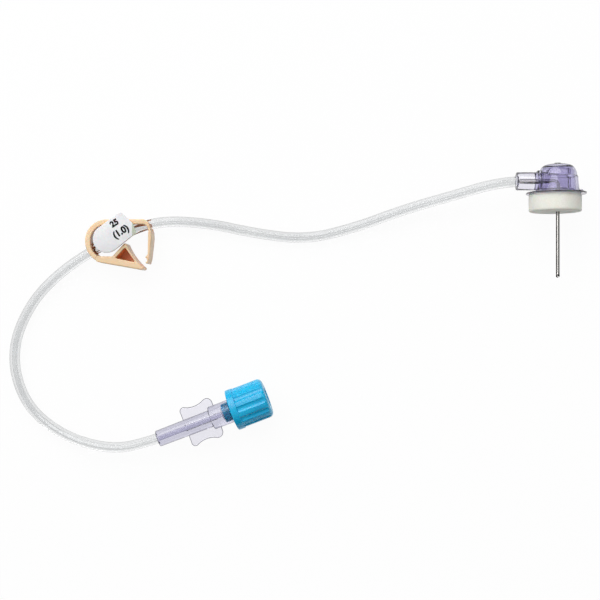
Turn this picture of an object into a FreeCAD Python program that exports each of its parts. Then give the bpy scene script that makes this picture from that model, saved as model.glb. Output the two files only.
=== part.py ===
# Port access infusion set: a bent non-coring needle in a small domed hub with a foam pad, a length of
# tubing with a pinch clamp and a size tag, and a winged female luer connector with a screw cap.
# Millimetres. +Z is up from the table the set lies on, +Y is from the needle's tip to the dome's top.
# The origin is under the middle of the needle head.

import math
import os

import FreeCAD
import Part
import Sketcher

V = FreeCAD.Vector

# Driving sizes: name, value, what it is
ROWS = [
    ("head_x", 2.05, "needle axis, along X"),
    ("head_y", 7.85, "underside of the base plate, along Y"),
    ("plate_r", 8.9, "base plate radius, also the height of the head's axis above the table"),
    ("plate_thick", 0.5, "base plate thickness"),
    ("plate_shift", 0.45, "base plate centre, from the needle axis towards the tubing"),
    ("pad_r", 7.8, "foam pad radius"),
    ("pad_thick", 5.3, "foam pad thickness"),
    ("pad_shift", 0.8, "foam pad centre, from the needle axis towards the tubing"),
    ("pad_hole_r", 0.7, "hole in the foam pad for the needle"),
    ("pad_edge_r", 0.4, "rounding of the foam pad's lower edge"),
    ("needle_r", 0.54, "needle outside radius, 19 gauge"),
    ("needle_bore_r", 0.38, "needle inside radius"),
    ("needle_reach", 25.0, "needle length below the base plate"),
    ("needle_bend_r", 1.8, "radius of the right-angle bend inside the hub"),
    ("needle_fit", 0.02, "clearance of the bonded needle in its channel"),
    ("tip_bend_r", 7.0, "radius of the bent non-coring tip"),
    ("tip_turn", 14.0, "turn of the bent tip, degrees"),
    ("tip_cut", 42.0, "slope of the bevel against the shaft, degrees"),
    ("catch_x", 7.1, "catch on the base plate, near side from the plate's centre"),
    ("catch_len", 1.2, "catch on the base plate, length"),
    ("catch_top", 1.0, "catch on the base plate, height over the plate"),
    ("dome_base_r", 6.5, "dome cover, radius at the base plate"),
    ("dome_belt_r", 5.95, "dome cover, radius under the step"),
    ("dome_belt_top", 5.25, "dome cover, height of the step"),
    ("dome_neck_r", 5.68, "dome cover, radius over the step"),
    ("dome_shoulder_r", 4.95, "dome cover, radius where the top starts to round"),
    ("dome_shoulder_top", 7.75, "dome cover, height where the top starts to round"),
    ("dome_top", 9.15, "dome cover, height of its crown"),
    ("gate_r", 1.1, "small round gate mark on the crown, radius"),
    ("gate_top", 9.35, "small round gate mark on the crown, height"),
    ("boss_r", 3.3, "boss round the socket, radius"),
    ("boss_end", 6.45, "boss round the socket, distance of its end from the needle axis"),
    ("socket_z", 3.9, "side socket axis above the base plate's underside"),
    ("socket_r", 2.7, "side socket outside radius"),
    ("socket_end", 12.4, "side socket mouth, distance from the needle axis"),
    ("tube_seat", 4.0, "depth of tubing in the side socket"),
    ("foot_r", 4.7, "core foot radius"),
    ("foot_thick", 0.9, "core foot thickness"),
    ("core_left", 3.0, "core block, left side from the needle axis"),
    ("core_right", 3.3, "core block, right side from the needle axis"),
    ("core_half", 2.7, "core block, half depth"),
    ("core_top", 7.5, "core block, height"),
    ("waist_inset", 0.5, "core block, depth of its waist"),
    ("waist_low", 5.05, "core block, lower side of its waist"),
    ("waist_high", 5.9, "core block, upper side of its waist"),
    ("tube_r", 1.55, "tubing outside radius"),
    ("lumen_r", 0.75, "tubing inside radius"),
    ("tube_fit", 0.02, "clearance of the bonded tubing in its sockets"),
    ("clamp_x", -133.95, "centre of the clamp's round nose, along X"),
    ("clamp_y", -5.63, "centre of the clamp's round nose, along Y"),
    ("clamp_depth", 7.2, "clamp strip width"),
    ("passage_r", 2.1, "tubing passage through the clamp, radius"),
    ("pivot_x", -2.1, "clamp living hinge, from the nose centre along X"),
    ("pivot_y", -5.85, "clamp living hinge, from the nose centre along Y"),
    ("frame_corner", 0.35, "rounding of the clamp frame's corners"),
    ("jaw_corner", 0.4, "rounding of the clamp jaw's corners"),
    ("edge_round", 0.3, "rounding along both side faces of the clamp"),
    ("tag_thick", 1.0, "size tag thickness"),
    ("tag_slope_x", 8.15, "size tag, start of its sloped end from the nose centre, along X"),
    ("tag_slope", 1.3, "size tag, length of its sloped end"),
    ("tag_drop", 0.8, "size tag, drop of its sloped end"),
    ("tag_hinge_x", 0.35, "size tag, centre of its round end from the nose centre, along X"),
    ("tag_hinge_y", -0.13, "size tag, centre of its round end from the nose centre, along Y"),
    ("luer_x", -118.19, "rear end of the luer sleeve, along X"),
    ("luer_y", -65.83, "rear end of the luer sleeve, along Y"),
    ("luer_turn", 21.0, "direction of the luer axis, degrees from X"),
    ("sleeve_rear_r", 2.5, "luer sleeve, radius at the rear"),
    ("sleeve_front_r", 2.62, "luer sleeve, radius at the shoulder"),
    ("sleeve_len", 17.25, "luer sleeve length"),
    ("sleeve_seat", 8.3, "depth of tubing in the luer sleeve"),
    ("hub_r", 3.55, "luer hub outside radius"),
    ("hub_neck_r", 3.35, "luer hub radius inside the cap"),
    ("lug_r", 3.9, "luer lugs, radius over them"),
    ("lug_len", 1.1, "luer lugs, length along the axis"),
    ("mouth_x", 30.0, "luer mouth, distance from the rear end"),
    ("mouth_r", 2.2, "luer bore radius at the mouth"),
    ("taper_end_x", 20.9, "inner end of the tapered luer bore"),
    ("taper_end_r", 1.927, "luer bore radius at its inner end"),
    ("wing_thick", 1.1, "wing thickness"),
    ("wing_rear", 9.0, "wings, rear edge from the rear end"),
    ("wing_front", 19.2, "wings, front edge from the rear end"),
    ("wing_reach", 6.15, "wings, reach from the axis"),
    ("wing_waist", 5.35, "wings, reach at the finger hollow"),
    ("cap_x", 23.9, "luer cap, open end from the luer's rear end"),
    ("cap_collar_r", 6.3, "luer cap collar radius, also the height of the luer axis above the table"),
    ("cap_collar_len", 2.1, "luer cap collar length"),
    ("cap_r", 6.1, "luer cap grip radius"),
    ("cap_len", 11.5, "luer cap length"),
    ("cap_bore_r", 4.15, "luer cap, bore round the luer lugs"),
    ("cap_bore_len", 7.3, "luer cap, depth of that bore"),
    ("plug_tip", 2.7, "male plug, reach beyond the cap's open end"),
    ("plug_fit", 0.02, "clearance of the plug in the luer bore"),
    ("plug_slope", 0.03, "taper of the luer fit, radius per length"),
    ("cap_dish_r", 2.9, "dish in the cap's closed end, radius"),
    ("cap_dish_len", 2.4, "dish in the cap's closed end, depth"),
    ("rib_r", 1.5, "radius of the flutes between the cap's grip ribs"),
    ("rib_ring_r", 7.22, "radius of the circle those flutes lie on"),
]
RIB_COUNT = 12

# Tubing route: corner points of its centre line, from the side socket to the luer sleeve
ROUTE = [
    (-6.35, 11.75, 8.90),
    (-14.60, 11.75, 8.90),
    (-28.85, 7.75, 6.75),
    (-43.80, 3.65, 3.90),
    (-58.20, -1.60, 1.80),
    (-73.35, -5.30, 1.60),
    (-89.10, -3.40, 1.60),
    (-103.55, -0.20, 2.05),
    (-120.10, 0.40, 3.60),
    (-134.15, -6.30, 3.70),
    (-147.20, -13.95, 2.60),
    (-158.20, -24.70, 1.60),
    (-164.10, -39.80, 1.75),
    (-160.25, -55.40, 1.60),
    (-148.60, -65.20, 2.80),
    (-132.55, -69.35, 5.85),
    (-120.45, -66.70, 6.30),
    (-110.70, -62.95, 6.30),
]
CLAMP_RUN = (7, 12)
HINGE_KEEP = 1.3
CORNER_TURN = 6

SIZE = {name: value for name, value, note in ROWS}

doc = FreeCAD.newDocument("port_needle_set")
sheet = doc.addObject("Spreadsheet::Sheet", "Sizes")
for row, (name, value, note) in enumerate(ROWS, start=1):
    sheet.set("A%d" % row, name)
    sheet.set("B%d" % row, str(value))
    sheet.set("C%d" % row, note)
    sheet.setAlias("B%d" % row, name)
doc.recompute()


# Sizes written as short sums, such as "plate_thick + 0.7"
def number(text):
    total = 0.0
    sign = 1.0
    for token in str(text).split():
        if token == "+":
            sign = 1.0
        elif token == "-":
            sign = -1.0
        else:
            total += sign * (SIZE[token] if token in SIZE else float(token))
            sign = 1.0
    return total


def formula(text):
    return " ".join("Sizes." + token if token in SIZE else token for token in str(text).split())


def bind(thing, prop, text):
    thing.setExpression(prop, formula(text))


# Every body stands in one of three places: on the head, on the clamp or on the luer
def place_head(thing):
    turn = FreeCAD.Rotation(V(1, 0, 0), -90)
    thing.Placement = FreeCAD.Placement(V(SIZE["head_x"], SIZE["head_y"], SIZE["plate_r"]), turn)
    bind(thing, "Placement.Base.x", "head_x")
    bind(thing, "Placement.Base.y", "head_y")
    bind(thing, "Placement.Base.z", "plate_r")


def place_clamp(thing):
    thing.Placement = FreeCAD.Placement(V(SIZE["clamp_x"], SIZE["clamp_y"], 0), FreeCAD.Rotation())
    bind(thing, "Placement.Base.x", "clamp_x")
    bind(thing, "Placement.Base.y", "clamp_y")


def place_luer(thing):
    turn = FreeCAD.Rotation(V(0, 0, 1), SIZE["luer_turn"])
    thing.Placement = FreeCAD.Placement(V(SIZE["luer_x"], SIZE["luer_y"], SIZE["cap_collar_r"]), turn)
    bind(thing, "Placement.Base.x", "luer_x")
    bind(thing, "Placement.Base.y", "luer_y")
    bind(thing, "Placement.Base.z", "cap_collar_r")


def new_body(label, place):
    body = doc.addObject("PartDesign::Body", label)
    body.Label = label
    place(body)
    return body


def plane_of(body, role):
    for item in body.Origin.OriginFeatures:
        if item.Role == role:
            return item
    raise RuntimeError("no plane " + role)


def arc_through(first, middle, last):
    ax, ay = first
    bx, by = middle
    cx, cy = last
    d = 2 * (ax * (by - cy) + bx * (cy - ay) + cx * (ay - by))
    a2 = ax * ax + ay * ay
    b2 = bx * bx + by * by
    c2 = cx * cx + cy * cy
    ux = (a2 * (by - cy) + b2 * (cy - ay) + c2 * (ay - by)) / d
    uy = (a2 * (cx - bx) + b2 * (ax - cx) + c2 * (bx - ax)) / d
    radius = math.hypot(ax - ux, ay - uy)
    start = math.atan2(ay - uy, ax - ux)
    end = math.atan2(cy - uy, cx - ux)
    anticlockwise = (bx - ax) * (cy - ay) - (by - ay) * (cx - ax) > 0
    if not anticlockwise:
        start, end = end, start
    if end <= start:
        end += 2 * math.pi
    circle = Part.Circle(V(ux, uy, 0), V(0, 0, 1), radius)
    return Part.ArcOfCircle(circle, start, end), anticlockwise


# A closed outline: each step is a line to (x, y), or an arc through (mx, my) to (x, y)
def outline(body, name, role, steps, lift=None):
    sketch = body.newObject("Sketcher::SketchObject", name)
    sketch.AttachmentSupport = [(plane_of(body, role), "")]
    sketch.MapMode = "FlatFace"
    if lift is not None:
        sketch.AttachmentOffset = FreeCAD.Placement(V(0, 0, number(lift)), FreeCAD.Rotation())
        bind(sketch, "AttachmentOffset.Base.z", lift)
    corners = [step[-2:] for step in steps]
    spots = [(number(x), number(y)) for x, y in corners]
    count = len(steps)
    ends = []
    for i, step in enumerate(steps):
        start = spots[i - 1]
        finish = spots[i]
        if len(step) == 4:
            arc, forward = arc_through(start, (number(step[0]), number(step[1])), finish)
            sketch.addGeometry(arc, False)
            ends.append((1, 2) if forward else (2, 1))
        else:
            sketch.addGeometry(Part.LineSegment(V(start[0], start[1], 0), V(finish[0], finish[1], 0)), False)
            ends.append((1, 2))
    for i in range(count):
        after = (i + 1) % count
        sketch.addConstraint(Sketcher.Constraint("Coincident", i, ends[i][1], after, ends[after][0]))
    for i, (x, y) in enumerate(corners):
        point = ends[i][1]
        for kind, text, axis in (("DistanceX", x, -2), ("DistanceY", y, -1)):
            if abs(number(text)) < 1e-9:
                sketch.addConstraint(Sketcher.Constraint("PointOnObject", i, point, axis))
                continue
            index = sketch.addConstraint(Sketcher.Constraint(kind, -1, 1, i, point, number(text)))
            if any(token in SIZE for token in str(text).split()):
                sketch.setExpression("Constraints[%d]" % index, formula(text))
    return sketch


def pad(body, name, sketch, length):
    feature = body.newObject("PartDesign::Pad", name)
    feature.Profile = sketch
    feature.Length = number(length)
    bind(feature, "Length", length)
    sketch.Visibility = False
    return feature


def spin(body, name, sketch, axis, kind="PartDesign::Revolution"):
    feature = body.newObject(kind, name)
    feature.Profile = sketch
    feature.ReferenceAxis = (sketch, [axis])
    feature.Angle = 360
    sketch.Visibility = False
    return feature


# A cut that has to remove something: the body's volume is compared before and after
def pocket(body, name, sketch, length):
    doc.recompute()
    before = body.Shape.Volume
    feature = body.newObject("PartDesign::Pocket", name)
    feature.Profile = sketch
    feature.Length = number(length)
    bind(feature, "Length", length)
    sketch.Visibility = False
    doc.recompute()
    if before - body.Shape.Volume < 0.01:
        feature.Reversed = True
        doc.recompute()
    if before - body.Shape.Volume < 0.01:
        raise RuntimeError(name + " cuts nothing")
    return feature


# Rounding of a clamp strip: its sharp corners first, then along both side faces, but not at the living hinge
def near_hinge(x, y):
    return math.hypot(x - SIZE["pivot_x"], y - SIZE["pivot_y"]) < HINGE_KEEP


def corner_turn(shape, edge):
    spot = edge.valueAt(edge.FirstParameter)
    normals = []
    for face in shape.Faces:
        if any(other.isSame(edge) for other in face.Edges):
            u, v = face.Surface.parameter(spot)
            normals.append(face.normalAt(u, v))
    return math.degrees(normals[0].getAngle(normals[1]))


def fillet(body, name, base, names, radius):
    feature = body.newObject("PartDesign::Fillet", name)
    feature.Base = (base, names)
    feature.Radius = number(radius)
    bind(feature, "Radius", radius)
    doc.recompute()
    return feature


def round_strip(body, name, strip, corner):
    doc.recompute()
    corners = []
    for i, edge in enumerate(strip.Shape.Edges, start=1):
        box = edge.BoundBox
        upright = box.ZMax - box.ZMin > SIZE["clamp_depth"] / 2
        if upright and not near_hinge(box.XMin, box.YMin) and corner_turn(strip.Shape, edge) > CORNER_TURN:
            corners.append("Edge%d" % i)
    rounded = fillet(body, name + "Corners", strip, corners, corner)
    sides = []
    for i, edge in enumerate(rounded.Shape.Edges, start=1):
        box = edge.BoundBox
        middle = edge.valueAt((edge.FirstParameter + edge.LastParameter) / 2)
        if box.ZMax - box.ZMin < 1e-6 and not near_hinge(middle.x, middle.y):
            sides.append("Edge%d" % i)
    return fillet(body, name + "Sides", rounded, sides, "edge_round")


# A round bar or hole along a body's own X or Z axis
def bar(body, kind, name, radius, length, along, x, y, z):
    feature = body.newObject("PartDesign::" + kind, name)
    feature.Radius = number(radius)
    bind(feature, "Radius", radius)
    feature.Height = number(length)
    bind(feature, "Height", length)
    turn = FreeCAD.Rotation(V(0, 1, 0), 90) if along == "X" else FreeCAD.Rotation()
    feature.AttachmentOffset = FreeCAD.Placement(V(0, 0, 0), FreeCAD.Rotation())
    feature.Placement = FreeCAD.Placement(V(number(x), number(y), number(z)), turn)
    for prop, text in (("x", x), ("y", y), ("z", z)):
        if any(token in SIZE for token in str(text).split()):
            bind(feature, "Placement.Base." + prop, text)
    return feature


def block(body, kind, name, low, high):
    feature = body.newObject("PartDesign::" + kind, name)
    for prop, axis, a, b in zip(("Length", "Width", "Height"), ("x", "y", "z"), low, high):
        tail = " ".join({"+": "-", "-": "+"}.get(token, token) for token in a.split())
        tail = "- " + tail if not tail.startswith("+ ") and not tail.startswith("- ") else tail
        size = (b + " " + tail).strip()
        setattr(feature, prop, number(size))
        bind(feature, prop, size)
    feature.Placement = FreeCAD.Placement(V(*(number(text) for text in low)), FreeCAD.Rotation())
    for prop, text in zip(("x", "y", "z"), low):
        if any(token in SIZE for token in text.split()):
            bind(feature, "Placement.Base." + prop, text)
    return feature


# Centre line with every corner rounded by an arc that touches both of its runs
def rounded_wire(points, radii=None, report=None):
    points = [V(*p) for p in points]
    edges = []
    start = points[0]
    for i in range(1, len(points) - 1):
        before = points[i] - points[i - 1]
        after = points[i + 1] - points[i]
        half = before.getAngle(after) / 2
        reach = 0.45 * min(before.Length, after.Length)
        if radii:
            reach = radii[i - 1] * math.tan(half)
        radius = reach / math.tan(half)
        before.normalize()
        after.normalize()
        enter = points[i] - before * reach
        leave = points[i] + after * reach
        inward = after - before
        inward.normalize()
        middle = points[i] + inward * (radius / math.cos(half) - radius)
        edges.append(Part.LineSegment(start, enter).toShape())
        edges.append(Part.Arc(enter, middle, leave).toShape())
        start = leave
        if report is not None:
            report.append(radius)
    edges.append(Part.LineSegment(start, points[-1]).toShape())
    return Part.Wire(edges)


def pipe(wire, radius):
    first = wire.OrderedEdges[0]
    origin = first.valueAt(first.FirstParameter)
    heading = first.tangentAt(first.FirstParameter)
    ring = Part.Wire([Part.Circle(origin, heading, radius).toShape()])
    return wire.makePipeShell([ring], True, True)


def shape_object(label, shape, place=None):
    thing = doc.addObject("Part::Feature", label)
    thing.Label = label
    thing.Shape = shape
    if place:
        place(thing)
    return thing


NODES = []


# Foam pad under the base plate
foam = new_body("foam_pad", place_head)
foam_profile = outline(foam, "FoamProfile", "XZ_Plane", [
    ("0", "- pad_thick"),
    ("pad_r - pad_edge_r", "- pad_thick"),
    ("pad_r - 0.117", "- pad_thick + 0.117", "pad_r", "- pad_thick + pad_edge_r"),
    ("pad_r", "0"),
    ("0", "0"),
])
spin(foam, "FoamDisc", foam_profile, "V_Axis")
doc.recompute()
bar(foam, "SubtractiveCylinder", "NeedleHole", "pad_hole_r", "pad_thick + 2", "Z", "pad_shift", "0",
    "- pad_thick - 1")
# The disc is drawn about its own centre, so the whole pad is moved over to sit off the needle's axis
foam.Placement.Base = V(SIZE["head_x"] - SIZE["pad_shift"], SIZE["head_y"], SIZE["plate_r"])
bind(foam, "Placement.Base.x", "head_x - pad_shift")
NODES.append(foam)

# Base plate with a small catch beside the dome
plate = new_body("base_plate", place_head)
plate_profile = outline(plate, "PlateProfile", "XZ_Plane", [
    ("0", "0"),
    ("plate_r - 0.12", "0"),
    ("plate_r", "0.12"),
    ("plate_r", "plate_thick - 0.12"),
    ("plate_r - 0.12", "plate_thick"),
    ("0", "plate_thick"),
])
spin(plate, "PlateDisc", plate_profile, "V_Axis")
catch_profile = outline(plate, "CatchProfile", "XZ_Plane", [
    ("catch_x", "plate_thick - 0.1"),
    ("catch_x + catch_len", "plate_thick - 0.1"),
    ("catch_x + catch_len - 0.1", "plate_thick + 0.35"),
    ("catch_x + 0.5", "plate_thick + catch_top"),
    ("catch_x", "plate_thick + catch_top"),
], lift="- 0.8")
pad(plate, "Catch", catch_profile, "1.6")
doc.recompute()
bar(plate, "SubtractiveCylinder", "NeedleHole", "needle_r + 0.05", "plate_thick + 2", "Z", "plate_shift", "0",
    "- 1")
plate.Placement.Base = V(SIZE["head_x"] - SIZE["plate_shift"], SIZE["head_y"], SIZE["plate_r"])
bind(plate, "Placement.Base.x", "head_x - plate_shift")
NODES.append(plate)

# Dome cover: a turned shell with a round boss where the side socket comes out
dome = new_body("dome_cover", place_head)
dome_profile = outline(dome, "DomeProfile", "XZ_Plane", [
    ("0", "plate_thick"),
    ("dome_base_r", "plate_thick"),
    ("dome_base_r - 0.1", "plate_thick + 0.5"),
    ("dome_belt_r + 0.13", "dome_belt_top - 2.25", "dome_belt_r", "dome_belt_top"),
    ("dome_neck_r", "dome_belt_top + 0.3"),
    ("dome_shoulder_r + 0.5", "dome_shoulder_top - 1.05", "dome_shoulder_r", "dome_shoulder_top"),
    ("dome_shoulder_r - 0.55", "dome_shoulder_top + 0.65", "3.5", "dome_top - 0.35"),
    ("2.4", "dome_top - 0.15", "gate_r + 0.1", "dome_top - 0.04"),
    ("gate_r - 0.05", "gate_top"),
    ("0", "gate_top"),
])
spin(dome, "DomeShell", dome_profile, "V_Axis")
boss_profile = outline(dome, "BossProfile", "XZ_Plane", [
    ("- boss_end", "socket_z"),
    ("- boss_end", "socket_z + boss_r - 0.85"),
    ("- boss_end + 0.2", "socket_z + boss_r - 0.25", "- boss_end + 0.85", "socket_z + boss_r"),
    ("- 3.5", "socket_z + boss_r"),
    ("- 3.5", "socket_z"),
])
boss = dome.newObject("PartDesign::Revolution", "Boss")
boss.Profile = boss_profile
boss.ReferenceAxis = (boss_profile, ["Edge1"])
boss.Angle = 360
boss_profile.Visibility = False
doc.recompute()
cavity_profile = outline(dome, "CavityProfile", "XZ_Plane", [
    ("0", "plate_thick - 0.5"),
    ("dome_base_r - 1.05", "plate_thick - 0.5"),
    ("dome_belt_r - 0.8", "dome_belt_top - 0.05"),
    ("dome_shoulder_r - 0.15", "dome_shoulder_top - 0.9"),
    ("dome_shoulder_r - 0.55", "dome_shoulder_top - 0.1"),
    ("3.4", "dome_top - 1.0"),
    ("0", "dome_top - 0.8"),
])
spin(dome, "Cavity", cavity_profile, "V_Axis", "PartDesign::Groove")
bar(dome, "SubtractiveCylinder", "SocketHole", "socket_r + 0.03", "5", "X", "- boss_end - 1", "0", "socket_z")
NODES.append(dome)

# Clear hub core: foot, block with a waist, and the side socket that takes the tubing
core = new_body("hub_core_blank", place_head)
foot_profile = outline(core, "FootProfile", "XZ_Plane", [
    ("0", "plate_thick"),
    ("foot_r", "plate_thick"),
    ("foot_r", "plate_thick + foot_thick - 0.3"),
    ("foot_r - 0.4", "plate_thick + foot_thick"),
    ("0", "plate_thick + foot_thick"),
])
spin(core, "Foot", foot_profile, "V_Axis")
block(core, "AdditiveBox", "LowerBlock", ("- core_left", "- core_half", "plate_thick"),
      ("core_right", "core_half", "waist_low"))
block(core, "AdditiveBox", "Waist", ("- core_left + waist_inset", "- core_half + waist_inset", "plate_thick"),
      ("core_right - waist_inset", "core_half - waist_inset", "core_top"))
block(core, "AdditiveBox", "UpperBlock", ("- core_left", "- core_half", "waist_high"),
      ("core_right", "core_half", "core_top"))
socket_profile = outline(core, "SocketProfile", "XZ_Plane", [
    ("- socket_end", "socket_z"),
    ("- socket_end", "socket_z + socket_r - 0.15"),
    ("- socket_end + 0.15", "socket_z + socket_r"),
    ("- 2.0", "socket_z + socket_r"),
    ("- 2.0", "socket_z"),
])
socket = core.newObject("PartDesign::Revolution", "Socket")
socket.Profile = socket_profile
socket.ReferenceAxis = (socket_profile, ["Edge1"])
socket.Angle = 360
socket_profile.Visibility = False
doc.recompute()
bar(core, "SubtractiveCylinder", "TubeSeat", "tube_r + tube_fit", "tube_seat + 1.05", "X",
    "- socket_end - 1", "0", "socket_z")
doc.recompute()

# Needle: sideways leg in the socket, right-angle bend, long shaft, and a bent tip with a bevel
leg_start = -(SIZE["socket_end"] - 1.0)
tip_turn = math.radians(SIZE["tip_turn"])
tip_arc = SIZE["tip_bend_r"] * math.tan(tip_turn / 2)
tip_top = -SIZE["needle_reach"] + SIZE["tip_bend_r"] * math.sin(tip_turn)
tip_corner = V(0, 0, tip_top - tip_arc)
tip_end = tip_corner + V(0, -math.sin(tip_turn), -math.cos(tip_turn)) * (tip_arc + SIZE["needle_r"])
needle_points = [
    (leg_start, 0, SIZE["socket_z"]),
    (0, 0, SIZE["socket_z"]),
    tuple(tip_corner),
    tuple(tip_end),
]
needle_wire = rounded_wire(needle_points, [SIZE["needle_bend_r"], SIZE["tip_bend_r"]])
needle_shape = pipe(needle_wire, SIZE["needle_r"]).cut(pipe(needle_wire, SIZE["needle_bore_r"]))
# The bevel starts at the wall that faces the table and slopes up along the shaft, so its opening faces up
point_y = SIZE["needle_r"] / math.cos(tip_turn) - SIZE["tip_bend_r"] * (1 - math.cos(tip_turn))
bevel_size = 16 * SIZE["needle_r"]
bevel = Part.makeBox(bevel_size, bevel_size, bevel_size, V(-bevel_size / 2, -bevel_size / 2, -bevel_size))
bevel.Placement = FreeCAD.Placement(
    V(0, point_y, -SIZE["needle_reach"]),
    FreeCAD.Rotation(V(1, 0, 0), SIZE["tip_cut"] - 90),
)
needle_shape = needle_shape.cut(bevel)
cannula = shape_object("cannula", needle_shape, place_head)
NODES.append(cannula)

channel = shape_object("needle_channel", pipe(needle_wire, SIZE["needle_r"] + SIZE["needle_fit"]), place_head)
hub_core = doc.addObject("Part::Cut", "hub_core")
hub_core.Label = "hub_core"
hub_core.Base = core
hub_core.Tool = channel
NODES.append(hub_core)

# Tubing
tube_radii = []
tube_wire = rounded_wire(ROUTE, report=tube_radii)
tube_shape = pipe(tube_wire, SIZE["tube_r"]).cut(pipe(tube_wire, SIZE["lumen_r"]))
tubing = shape_object("tubing", tube_shape)
NODES.append(tubing)

# Clamp frame: round nose, upper arm with a pinching ridge, and the leg with its catch
frame = new_body("clamp_frame_blank", place_clamp)
frame_outline = outline(frame, "FrameOutline", "XY_Plane", [
    ("pivot_x - 0.893", "pivot_y + 0.325", "pivot_x - 0.861", "pivot_y - 0.401"),
    ("- 5.2", "- 4.1", "- 6.25", "- 0.6"),
    ("- 4.55", "4.05", "- 0.1", "6.12"),
    ("10.6", "6.2"),
    ("12.3", "5.75", "13.2", "4.4"),
    ("13.75", "2.3"),
    ("13.85", "0.4"),
    ("13.2", "- 5.5"),
    ("12.75", "- 7.35"),
    ("12.1", "- 7.2"),
    ("11.92", "- 5.3"),
    ("12.65", "- 4.4"),
    ("12.8", "2.2"),
    ("12.5", "3.9", "11.3", "4.65"),
    ("5.4", "4.65"),
    ("3.95", "2.7"),
    ("3.4", "2.44", "2.9", "2.75"),
    ("1.5", "4.55"),
    ("- 0.1", "4.5"),
    ("- 3.25", "3.05", "- 4.6", "- 0.5"),
    ("- 4.1", "- 3.1", "pivot_x - 0.446", "pivot_y + 0.839"),
])
round_strip(frame, "Frame", pad(frame, "FrameStrip", frame_outline, "clamp_depth"), "frame_corner")
catch_recess = outline(frame, "CatchRecess", "XY_Plane", [
    ("11.7", "- 5.55"),
    ("12.62", "- 5.5"),
    ("12.5", "- 6.6"),
    ("11.7", "- 6.75"),
], lift="clamp_depth")
pocket(frame, "CatchPocket", catch_recess, "3.0")

passage_wire = rounded_wire(ROUTE[CLAMP_RUN[0]:CLAMP_RUN[1]])
passage = shape_object("clamp_passage", pipe(passage_wire, SIZE["passage_r"]))
clamp_frame = doc.addObject("Part::Cut", "clamp_frame")
clamp_frame.Label = "clamp_frame"
clamp_frame.Base = frame
clamp_frame.Tool = passage
NODES.append(clamp_frame)

# Clamp jaw: lower arm with a hollow pinching wedge, turning at the living hinge
jaw = new_body("clamp_jaw", place_clamp)
jaw_outline = outline(jaw, "JawOutline", "XY_Plane", [
    ("pivot_x - 0.85", "pivot_y", "pivot_x - 0.12", "pivot_y - 0.841"),
    ("pivot_x + 0.65", "pivot_y - 1.16"),
    ("10.7", "- 9.15"),
    ("11.25", "- 9.0", "11.5", "- 8.5"),
    ("8.35", "- 5.1", "6.3", "- 1.5"),
    ("5.85", "- 1.12", "5.3", "- 1.42"),
    ("1.95", "- 5.05"),
    ("pivot_x + 0.22", "pivot_y + 0.821"),
])
round_strip(jaw, "Jaw", pad(jaw, "JawStrip", jaw_outline, "clamp_depth"), "jaw_corner")
wedge_recess = outline(jaw, "WedgeRecess", "XY_Plane", [
    ("2.85", "- 5.6"),
    ("9.0", "- 6.85"),
    ("6.1", "- 2.7"),
    ("5.85", "- 2.55", "5.5", "- 2.7"),
], lift="clamp_depth")
pocket(jaw, "WedgePocket", wedge_recess, "clamp_depth - 1.8")
NODES.append(jaw)

# Size tag, bonded across the upper arm's side face
tag = new_body("size_tag", place_clamp)
tag_outline = outline(tag, "TagOutline", "XY_Plane", [
    ("tag_hinge_x - 3.56", "tag_hinge_y - 2.49", "tag_hinge_x - 2.59", "tag_hinge_y + 3.48"),
    ("4.2", "8.1"),
    ("4.45", "8.25", "4.85", "8.1"),
    ("8.2", "5.0"),
    ("8.45", "4.75", "8.5", "4.5"),
    ("9.3", "2.3"),
    ("9.25", "1.95", "9.0", "1.65"),
    ("tag_hinge_x + 2.3", "tag_hinge_y - 3.68"),
], lift="clamp_depth")
pad(tag, "TagPlate", tag_outline, "tag_thick")
doc.recompute()
slope_profile = outline(tag, "SlopeProfile", "XZ_Plane", [
    ("tag_slope_x", "clamp_depth + tag_thick"),
    ("tag_slope_x", "clamp_depth + tag_thick + 0.3"),
    ("tag_slope_x + tag_slope", "clamp_depth + tag_thick + 0.3"),
    ("tag_slope_x + tag_slope", "clamp_depth + tag_thick - tag_drop"),
], lift="- 6")
pocket(tag, "SlopedEnd", slope_profile, "14")
NODES.append(tag)

# Luer connector: sleeve, finger wings, hub with two lugs and a tapered bore
luer = new_body("luer_hub", place_luer)
luer_profile = outline(luer, "LuerProfile", "XY_Plane", [
    ("0", "0"),
    ("0", "sleeve_rear_r - 0.2"),
    ("0.2", "sleeve_rear_r"),
    ("sleeve_len", "sleeve_front_r"),
    ("sleeve_len", "hub_r - 0.25"),
    ("sleeve_len + 0.25", "hub_r"),
    ("cap_x - 0.4", "hub_r"),
    ("cap_x - 0.1", "hub_neck_r"),
    ("mouth_x", "hub_neck_r"),
    ("mouth_x", "0"),
])
spin(luer, "LuerBarrel", luer_profile, "H_Axis")
wing_steps = [
    ("wing_rear", "- 1.5"),
    ("wing_rear", "- wing_reach + 1.5"),
    ("wing_rear + 0.35", "- wing_reach + 0.3", "wing_rear + 1.5", "- wing_reach"),
    ("wing_rear + 4.7", "- wing_waist", "wing_front - 2.4", "- wing_reach"),
    ("wing_front - 0.5", "- wing_reach + 0.35", "wing_front", "- wing_reach + 1.6"),
    ("wing_front", "- 1.5"),
    ("wing_front", "wing_reach - 1.6"),
    ("wing_front - 0.5", "wing_reach - 0.35", "wing_front - 2.4", "wing_reach"),
    ("wing_rear + 4.7", "wing_waist", "wing_rear + 1.5", "wing_reach"),
    ("wing_rear + 0.35", "wing_reach - 0.3", "wing_rear", "wing_reach - 1.5"),
]
wing_outline = outline(luer, "WingOutline", "XY_Plane", wing_steps, lift="- 0.55")
pad(luer, "Wings", wing_outline, "wing_thick")
lug_outline = outline(luer, "LugOutline", "XY_Plane", [
    ("mouth_x - lug_len", "- lug_r"),
    ("mouth_x", "- lug_r"),
    ("mouth_x", "lug_r"),
    ("mouth_x - lug_len", "lug_r"),
], lift="- 1.1")
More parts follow.
